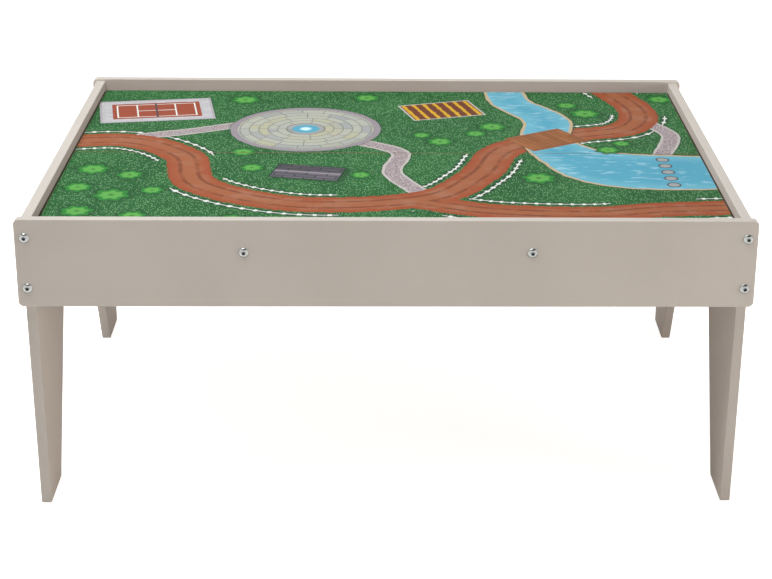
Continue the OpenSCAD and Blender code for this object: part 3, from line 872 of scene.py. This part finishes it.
def clear_selection():
    if bpy.context.object and bpy.context.object.mode != "OBJECT":
        bpy.ops.object.mode_set(mode="OBJECT")
    bpy.ops.object.select_all(action="DESELECT")


def choose(*pieces):
    """Selects only these pieces. The first one is the active one."""
    clear_selection()
    for piece in pieces:
        piece.select_set(True)
    bpy.context.view_layer.objects.active = pieces[0]


def joined(pieces):
    choose(*pieces)
    bpy.ops.object.join()
    return bpy.context.object


def edit(on):
    bpy.ops.object.mode_set(mode="EDIT" if on else "OBJECT")


def pick(kind, test):
    """Selects the points, edges or faces of the open mesh that pass the test."""
    bpy.ops.mesh.select_mode(type=kind)
    bpy.ops.mesh.select_all(action="DESELECT")
    data = bpy.context.object.data
    mesh = bmesh.from_edit_mesh(data)
    for part in {"VERT": mesh.verts, "EDGE": mesh.edges, "FACE": mesh.faces}[kind]:
        if test(part):
            part.select_set(True)
    mesh.select_flush_mode()
    bmesh.update_edit_mesh(data)


def same(value, other):
    return abs(value - other) < SAME_PLACE


def all_at(part, axis, value):
    """True if every point of an edge or face has this value on the axis."""
    return all(same(point.co[axis], value) for point in part.verts)


def runs_along(edge, axis):
    return not same(edge.verts[0].co[axis], edge.verts[1].co[axis])


def named(name):
    made = bpy.context.object
    made.name = made.data.name = name
    return made


def settle():
    bpy.ops.object.transform_apply(location=True, rotation=True, scale=True)


def apply_modifier(piece, kind, **settings):
    modifier = piece.modifiers.new(kind, kind)
    for key, value in settings.items():
        setattr(modifier, key, value)
    bpy.context.view_layer.objects.active = piece
    bpy.ops.object.modifier_apply(modifier=modifier.name)


def remove(tool):
    data = tool.data
    bpy.data.objects.remove(tool)
    bpy.data.meshes.remove(data)


def bores(holes):
    """One cutting tool of round bars. Each hole is its two ends and its radius."""
    made = []
    for start, end, radius in holes:
        start, end = Vector(start), Vector(end)
        clear_selection()
        bpy.ops.mesh.primitive_cylinder_add(
            vertices=BORE_STEPS, radius=radius, depth=(end - start).length, location=(start + end) / 2,
            rotation=(end - start).to_track_quat("Z", "Y").to_euler(),
        )
        settle()
        made.append(bpy.context.object)
    return joined(made)


def cut_away(piece, tool, **settings):
    choose(piece)
    apply_modifier(piece, "BOOLEAN", object=tool, operation="DIFFERENCE", solver="EXACT", **settings)
    remove(tool)


def smooth(piece, angle=35):
    choose(piece)
    bpy.ops.object.shade_smooth_by_angle(angle=math.radians(angle))
    apply_modifier(piece, "WEIGHTED_NORMAL", keep_sharp=True, weight=100)


def keep_values(piece, values):
    """Keeps named values on the points of a piece, for its finish to read."""
    for name, value in values.items():
        kept = piece.data.attributes.new(name, "FLOAT", "POINT")
        kept.data.foreach_set("value", value.astype(np.float32))


def point_places(piece):
    places = np.empty(len(piece.data.vertices) * 3)
    piece.data.vertices.foreach_get("co", places)
    return places.reshape(-1, 3)


def mark_edges(piece, axis, low, high, radius):
    """Keeps on each point how near it lies to a rounded edge, and whether it lies on a cut side."""
    places = point_places(piece)[:, axis]
    in_from_face = np.minimum(places - low[axis], high[axis] - places) / radius
    keep_values(piece, {
        "edge": np.clip(1 - np.abs(in_from_face - RUB_PEAK) / RUB_REACH, 0, 1),
        "cut": np.clip(in_from_face, 0, 1),
    })


def dress(piece, body, slot, *finishes, replaces=()):
    for finish in finishes:
        piece.data.materials.append(finish)
    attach(piece, body)
    if replaces:
        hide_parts(*replaces)


def refinish(nodes, finish):
    """Gives carried-over CAD nodes a better finish."""
    for node in nodes:
        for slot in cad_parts[node].material_slots:
            slot.material = finish


def corners(node):
    low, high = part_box(node)
    return Vector(low), Vector(high)


def bolt_places(node, upright):
    """Where the bolts of a node sit, as x and z, from its box."""
    low, high = corners(node)
    radius = bpy.context.scene.table_sizes.head_radius
    rows = (low.z + radius, high.z - radius) if upright else ((low.z + high.z) / 2,)
    return [(x, z) for x in (low.x + radius, high.x - radius) for z in rows]


def model_apron(end, sizes):
    low, high = corners(end + "_apron")
    clear_selection()
    bpy.ops.mesh.primitive_cube_add(size=1, location=(low + high) / 2)
    bpy.context.object.dimensions = high - low
    piece = named(end + "_apron_board")
    settle()
    edit(True)
    pick("EDGE", lambda e: runs_along(e, Y))
    bpy.ops.mesh.bevel(offset=sizes.apron_corner, segments=CORNER_STEPS, affect="EDGES")
    pick("EDGE", lambda e: all_at(e, Y, low.y) or all_at(e, Y, high.y))
    bpy.ops.mesh.bevel(offset=sizes.edge_round, segments=EDGE_STEPS, affect="EDGES")
    edit(False)
    front, back = low.y - OVERRUN, high.y + OVERRUN
    places = bolt_places(end + "_corner_bolts", True) + bolt_places(end + "_bar_bolts", False)
    tool = bores([((x, front, z), (x, back, z), sizes.bolt_bore) for x, z in places])
    cut_away(piece, tool, use_self=True)
    smooth(piece)
    mark_edges(piece, Y, low, high, sizes.edge_round)
    return piece


def nut_bores(side, low, high, sizes):
    """The tool for a panel's blind holes, which hold the barrel nuts, from its inner face."""
    face, inwards = (high.x, 1) if side == "left" else (low.x, -1)
    mouth, bottom = face + inwards * OVERRUN, face - inwards * sizes.nut_depth
    one_low, one_high = corners("left_bar_barrel_nuts")
    radius = (one_high.z - one_low.z) / 2
    nut_low, nut_high = corners(side + "_panel_barrel_nuts")
    return bores([
        ((mouth, y, z), (bottom, y, z), sizes.nut_bore)
        for y in (nut_low.y + radius, nut_high.y - radius)
        for z in (nut_low.z + radius, nut_high.z - radius)
    ])


def model_end_panel(side, sizes):
    low, high = corners(side + "_end_panel")
    rail = corners("front_apron")[0].z
    half = high.y
    arch = half - sizes.leg_top
    clear_selection()
    bpy.ops.mesh.primitive_plane_add(
        size=1, location=(low.x, 0, (rail + high.z) / 2), rotation=(0, math.pi / 2, 0)
    )
    bpy.context.object.scale = (high.z - rail, 2 * half, 1)
    piece = named(side + "_end_board")
    settle()
    edit(True)
    for y in (-arch, arch):
        bpy.ops.mesh.select_all(action="SELECT")
        bpy.ops.mesh.bisect(plane_co=(0, y, 0), plane_no=(0, 1, 0))
    inner_end = arch - SAME_PLACE
    for way in ENDS.values():
        pick("EDGE", lambda e: all_at(e, Z, rail) and all(way * p.co.y > inner_end for p in e.verts))
        bpy.ops.mesh.extrude_region_move(TRANSFORM_OT_translate={"value": (0, 0, -rail)})
        taper = sizes.foot_width / sizes.leg_top
        bpy.ops.transform.resize(value=(1, taper, 1), center_override=(low.x, way * half, 0))
        bpy.ops.transform.translate(value=(0, -way * sizes.leg_lean, 0))
    bpy.ops.mesh.select_all(action="SELECT")
    bpy.ops.mesh.dissolve_limited(angle_limit=0.001)
    pick("VERT", lambda p: same(p.co.z, rail) and same(abs(p.co.y), arch))
    slant = math.atan2(sizes.leg_top - sizes.foot_width - sizes.leg_lean, rail)
    arch_reach = sizes.arch_round * math.tan((math.pi / 2 - slant) / 2)
    bpy.ops.mesh.bevel(offset=arch_reach, segments=ARCH_STEPS, affect="VERTICES")
    pick("VERT", lambda p: same(p.co.z, 0))
    bpy.ops.mesh.bevel(offset=sizes.foot_round, segments=FOOT_STEPS, affect="VERTICES")
    pick("FACE", lambda f: True)
    bpy.ops.mesh.extrude_region_move(TRANSFORM_OT_translate={"value": (high.x - low.x, 0, 0)})
    bpy.ops.mesh.select_all(action="SELECT")
    bpy.ops.mesh.normals_make_consistent(inside=False)
    pick("EDGE", lambda e: all_at(e, X, low.x) or all_at(e, X, high.x))
    bpy.ops.mesh.bevel(offset=sizes.edge_round, segments=EDGE_STEPS, affect="EDGES")
    edit(False)
    cut_away(piece, nut_bores(side, low, high, sizes), use_self=True)
    smooth(piece)
    mark_edges(piece, X, low, high, sizes.edge_round)
    return piece


def model_play_board(end, sizes):
    low, high = corners(end + "_play_board")
    size = high - low
    clear_selection()
    bpy.ops.mesh.primitive_grid_add(
        x_subdivisions=round(size.x / sizes.print_cell), y_subdivisions=round(size.y / sizes.print_cell),
        size=1, location=((low.x + high.x) / 2, (low.y + high.y) / 2, high.z),
    )
    bpy.context.object.scale = (size.x, size.y, 1)
    piece = named(end + "_printed_board")
    settle()
    edit(True)
    pick("EDGE", lambda e: e.is_boundary)
    bpy.ops.mesh.extrude_region_move(TRANSFORM_OT_translate={"value": (0, 0, -size.z)})
    bpy.ops.mesh.edge_face_add()
    bpy.ops.mesh.select_all(action="SELECT")
    bpy.ops.mesh.normals_make_consistent(inside=False)

    def at_corner(edge):
        beside = all_at(edge, X, low.x) or all_at(edge, X, high.x)
        ahead = all_at(edge, Y, low.y) or all_at(edge, Y, high.y)
        return runs_along(edge, Z) and beside and ahead

    pick("EDGE", at_corner)
    bpy.ops.mesh.bevel(offset=sizes.board_corner, segments=EDGE_STEPS, affect="EDGES")
    pick("EDGE", lambda e: all_at(e, Z, high.z) and any(f.normal.z < SLOPES for f in e.link_faces))
    bpy.ops.mesh.bevel(offset=sizes.board_rim, segments=FINE_STEPS, affect="EDGES")
    edit(False)
    keep_values(piece, picture_values(point_places(piece)[:, :2]))
    smooth(piece, 30)
    return piece


def model_bolt(sizes, shank):
    """One bolt with its head's seat at the origin and its dome along +Z."""
    ball = (sizes.head_radius**2 + sizes.dome_height**2) / (2 * sizes.dome_height)
    top = sizes.skirt_height + sizes.dome_height
    half_step = math.pi / BOLT_STEPS  # keeps the socket's corners off the edges of the dome
    clear_selection()
    bpy.ops.mesh.primitive_uv_sphere_add(
        segments=BOLT_STEPS, ring_count=BOLT_STEPS, radius=ball, location=(0, 0, top - ball)
    )
    settle()
    bolt = bpy.context.object
    edit(True)
    bpy.ops.mesh.select_all(action="SELECT")
    bpy.ops.mesh.bisect(
        plane_co=(0, 0, sizes.skirt_height), plane_no=(0, 0, 1), clear_inner=True, use_fill=True
    )
    pick("FACE", lambda f: f.normal.z < FACES_DOWN)
    bpy.ops.mesh.extrude_region_move(TRANSFORM_OT_translate={"value": (0, 0, -sizes.skirt_height)})
    bpy.ops.mesh.inset(thickness=sizes.head_radius - sizes.shank_radius)
    bpy.ops.mesh.extrude_region_move(TRANSFORM_OT_translate={"value": (0, 0, -shank)})
    bpy.ops.mesh.bevel(offset=sizes.shank_bevel, segments=FINE_STEPS, affect="EDGES")
    edit(False)
    clear_selection()
    bpy.ops.mesh.primitive_cylinder_add(
        vertices=SOCKET_SIDES, radius=sizes.socket_radius, depth=2 * sizes.socket_depth,
        location=(0, 0, top), rotation=(0, 0, half_step),
    )
    settle()
    cut_away(bolt, bpy.context.object)
    apply_modifier(
        bolt, "BEVEL", width=sizes.head_ease, segments=FINE_STEPS, limit_method="ANGLE",
        angle_limit=math.radians(40),
    )
    for finish in ("Bright plated steel", "Blackened socket"):
        bolt.data.materials.append(bpy.data.materials[finish])
    # Faces inside the socket take the dark finish, painted shade of the deep hole
    for face in bolt.data.polygons:
        steep = face.normal.z < SLOPES or face.center.z < top - 0.5 * sizes.socket_depth
        inside = math.hypot(face.center.x, face.center.y) < 1.01 * sizes.socket_radius
        face.material_index = 1 if steep and inside and face.center.z > 0 else 0
    return bolt


def model_bolts(node, bolt, places, end):
    """Copies of a bolt at these places on an apron's outer face, joined into one piece."""
    low, high = corners(end + "_apron")
    seat = low.y if end == "front" else high.y
    made = []
    for x, z in places:
        choose(bolt)
        bpy.ops.object.duplicate()
        copy = bpy.context.object
        copy.rotation_euler = (-ENDS[end] * math.pi / 2, 0, 0)
        copy.location = (x, seat, z)
        settle()
        made.append(copy)
    joined(made)
    piece = named(node + "_plated")
    smooth(piece, 40)
    return piece


# Operators


class TABLE_OT_finishes(bpy.types.Operator):
    """Mixes the finishes that the pieces wear"""

    bl_idname = "table.finishes"
    bl_label = "Finishes"

    def execute(self, context):
        for make in (sprayed_skin_group, rubbed_edge_group, grain_group, blocks_group, plated_group):
            make()
        tints = context.scene.table_colours
        paint_finish(tints, "Satin paint")
        # The end panels' paint carries a line of painted shade where the play boards meet their inner
        # faces
        inner_face = corners("right_end_panel")[0].x
        board_top = corners("front_play_board")[1].z
        paint_finish(tints, "Satin paint, rubbed", (inner_face, board_top))
        hardboard_finish(tints)
        pine_finish(tints)
        steel_finish("Bright plated steel", tints.bright_steel, 0.08, 0.2)
        # Dark steel that paints the shade inside the bolts' sockets
        steel_finish("Blackened socket", tints.socket, 0.35, 0.5)
        steel_finish("Zinc plated steel", tints.zinc_steel, 0.3, 0.48)
        picture_finish(context.scene.picture_colours)
        return {"FINISHED"}


class TABLE_OT_aprons(bpy.types.Operator):
    """Models the long front and rear boards with rounded corners and eased edges"""

    bl_idname = "table.aprons"
    bl_label = "Aprons"

    def execute(self, context):
        for end in ENDS:
            piece = model_apron(end, context.scene.table_sizes)
            finish = bpy.data.materials["Satin paint"]
            dress(piece, BODY, "painted_board", finish, replaces=[end + "_apron"])
        return {"FINISHED"}


class TABLE_OT_end_panels(bpy.types.Operator):
    """Models the end boards, each with a rail and two tapered legs"""

    bl_idname = "table.end_panels"
    bl_label = "End panels"

    def execute(self, context):
        for side in SIDES:
            piece = model_end_panel(side, context.scene.table_sizes)
            # Paint with a line of painted shade beside the play boards
            finish = bpy.data.materials["Satin paint, rubbed"]
            dress(piece, BODY, "painted_board", finish, replaces=[side + "_end_panel"])
        return {"FINISHED"}


class TABLE_OT_play_boards(bpy.types.Operator):
    """Models the two loose boards and keeps the picture's shapes on their points"""

    bl_idname = "table.play_boards"
    bl_label = "Play boards"

    def execute(self, context):
        for end in ENDS:
            piece = model_play_board(end, context.scene.table_sizes)
            dress(
                piece, end + "_board", "printed_board", bpy.data.materials["Printed picture"],
                bpy.data.materials["Bare hardboard"], replaces=[end + "_play_board"],
            )
            for face in piece.data.polygons:
                face.material_index = 0 if face.normal.z > FACES_UP else 1
        return {"FINISHED"}


class TABLE_OT_bolts(bpy.types.Operator):
    """Models one bolt with a domed head and a six-sided socket, and copies it to every place"""

    bl_idname = "table.bolts"
    bl_label = "Bolts"

    def execute(self, context):
        shank = corners("front_corner_bolts")[1].y - corners("front_apron")[0].y
        bolt = model_bolt(context.scene.table_sizes, shank)
        for end in ENDS:
            for kind, upright in (("corner", True), ("bar", False)):
                node = f"{end}_{kind}_bolts"
                piece = model_bolts(node, bolt, bolt_places(node, upright), end)
                dress(piece, BODY, "bright_steel", replaces=[node])
        remove(bolt)
        return {"FINISHED"}


class TABLE_OT_timber(bpy.types.Operator):
    """Finishes the cross bars, ledges and dowels as planed pine"""

    bl_idname = "table.timber"
    bl_label = "Bars and ledges"

    def execute(self, context):
        parts = ("_cross_bar", "_ledge", "_bar_dowels")
        refinish([side + part for side in SIDES for part in parts], bpy.data.materials["Planed pine"])
        return {"FINISHED"}


class TABLE_OT_hidden_steel(bpy.types.Operator):
    """Finishes the barrel nuts and screws under the boards"""

    bl_idname = "table.hidden_steel"
    bl_label = "Nuts and screws"

    def execute(self, context):
        parts = ("_panel_barrel_nuts", "_bar_barrel_nuts", "_ledge_screws")
        finish = bpy.data.materials["Zinc plated steel"]
        refinish([side + part for side in SIDES for part in parts], finish)
        return {"FINISHED"}


SENSOR_WIDTH = 36  # of a full-frame camera, in millimetres
# Soft boxes: name, place, aim, width, the properties with their power and tint, and if steel shows them
LAMPS = (
    ("Top light", (-0.5, -0.1, 2.3), (0, 0, 0.3), 1.8, "top_light", "cool", True),
    ("Right light", (2.3, -1.1, 0.30), (0, 0, 0.2), 1.0, "right_light", "warm", False),
    ("Left light", (-2.6, -0.6, 0.35), (0, 0, 0.2), 1.0, "left_light", "warm", False),
)
# The white walls turn into the ceiling between these heights, as sines of the angle above level
WALLS_END = (0.54, 0.70)


class TABLE_OT_stage(bpy.types.Operator):
    """Sets the camera, the soft light and a pale floor"""

    bl_idname = "table.stage"
    bl_label = "Stage"

    def execute(self, context):
        sizes = context.scene.table_stage
        clear_selection()
        bpy.ops.object.camera_add(location=sizes.camera_place, rotation=sizes.camera_turn)
        camera = bpy.context.object
        camera.rotation_euler.rotate_axis("Z", sizes.camera_roll)
        camera.data.sensor_width = SENSOR_WIDTH
        camera.data.lens = sizes.camera_lens
        camera.data.shift_x, camera.data.shift_y = sizes.camera_shift
        context.scene.camera = camera
        for name, place, aim, width, power, tint, mirrored in LAMPS:
            turn = (Vector(aim) - Vector(place)).to_track_quat("-Z", "Y").to_euler()
            bpy.ops.object.light_add(type="AREA", location=place, rotation=turn)
            lamp = named(name)
            lamp.data.size = width
            lamp.data.energy = getattr(sizes, power)
            lamp.data.color = getattr(sizes, tint)
            lamp.visible_glossy = mirrored
        self.room(context, sizes)
        self.floor(sizes)
        context.scene.view_settings.view_transform = "Standard"
        return {"FINISHED"}

    def room(self, context, sizes):
        world = bpy.data.worlds.new("Room")
        world.use_nodes = True
        context.scene.world = world
        mix = Recipe(world.node_tree)
        direct, mirrored = mix.rays()
        up = mix.axes(mix.put("TexCoord").outputs["Generated"])[Z]
        low, high = WALLS_END
        above = mix.put("MapRange", {"Value": up, "From Min": low, "From Max": high}).outputs[0]
        shown = mix.span(above, 1.0, sizes.ceiling)
        background = world.node_tree.nodes["Background"].inputs
        mix.feed(background["Color"], (1, 1, 1))
        seen = mix.most(direct, mirrored)
        mix.feed(background["Strength"], mix.span(seen, sizes.room_light, shown))

    def floor(self, sizes):
        bpy.ops.mesh.primitive_plane_add(size=sizes.floor_size, location=(0, 0, 0))
        floor = named("Floor")
        finish, mix, shader = new_finish("Pale floor", Roughness=0.9)
        mix.feed(shader["Base Color"], sizes.floor)
        under = mix.put("NewGeometry").outputs["Backfacing"]
        direct, mirrored = mix.rays()
        white = mix.add(mix.times(direct, sizes.floor_lift), mix.times(mirrored, sizes.floor_mirrored))
        lift = mix.put("Emission", {"Strength": white}).outputs[0]
        nodes = finish.node_tree.nodes
        lit = mix.put("AddShader", {0: nodes["Principled BSDF"].outputs[0], 1: lift}).outputs[0]
        clear = mix.put("BsdfTransparent").outputs[0]
        shown = mix.put("MixShader", {0: under, 1: lit, 2: clear}).outputs[0]
        mix.feed(nodes["Material Output"].inputs["Surface"], shown)
        floor.data.materials.append(finish)


OPERATORS = (
    TABLE_OT_finishes,
    TABLE_OT_stage,
    TABLE_OT_aprons,
    TABLE_OT_end_panels,
    TABLE_OT_play_boards,
    TABLE_OT_bolts,
    TABLE_OT_timber,
    TABLE_OT_hidden_steel,
)


class TABLE_PT_panel(bpy.types.Panel):
    """Lists the table's sizes, colours and making steps"""

    bl_idname = "TABLE_PT_panel"
    bl_label = "Train Table"
    bl_space_type = "VIEW_3D"
    bl_region_type = "UI"
    bl_category = "Train Table"

    def draw(self, context):
        for operator in OPERATORS:
            self.layout.operator(operator.bl_idname)
        for settings in SETTINGS:
            box = self.layout.box()
            owner = getattr(context.scene, settings)
            for name in owner.__annotations__:
                box.prop(owner, name)


SETTINGS = {
    "table_sizes": TableSizes,
    "table_colours": TableColours,
    "picture_colours": PictureColours,
    "table_stage": StageSizes,
}
CLASSES = (*SETTINGS.values(), *OPERATORS, TABLE_PT_panel)


def register():
    for made in CLASSES:
        bpy.utils.register_class(made)
    for name, settings in SETTINGS.items():
        setattr(bpy.types.Scene, name, PointerProperty(type=settings))


def unregister():
    for name in SETTINGS:
        delattr(bpy.types.Scene, name)
    for made in reversed(CLASSES):
        bpy.utils.unregister_class(made)


def main():
    register()
    bpy.ops.table.finishes()
    bpy.ops.table.stage()
    bpy.ops.table.aprons()
    bpy.ops.table.end_panels()
    bpy.ops.table.play_boards()
    bpy.ops.table.bolts()
    bpy.ops.table.timber()
    bpy.ops.table.hidden_steel()


if __name__ == "__main__":
    main()
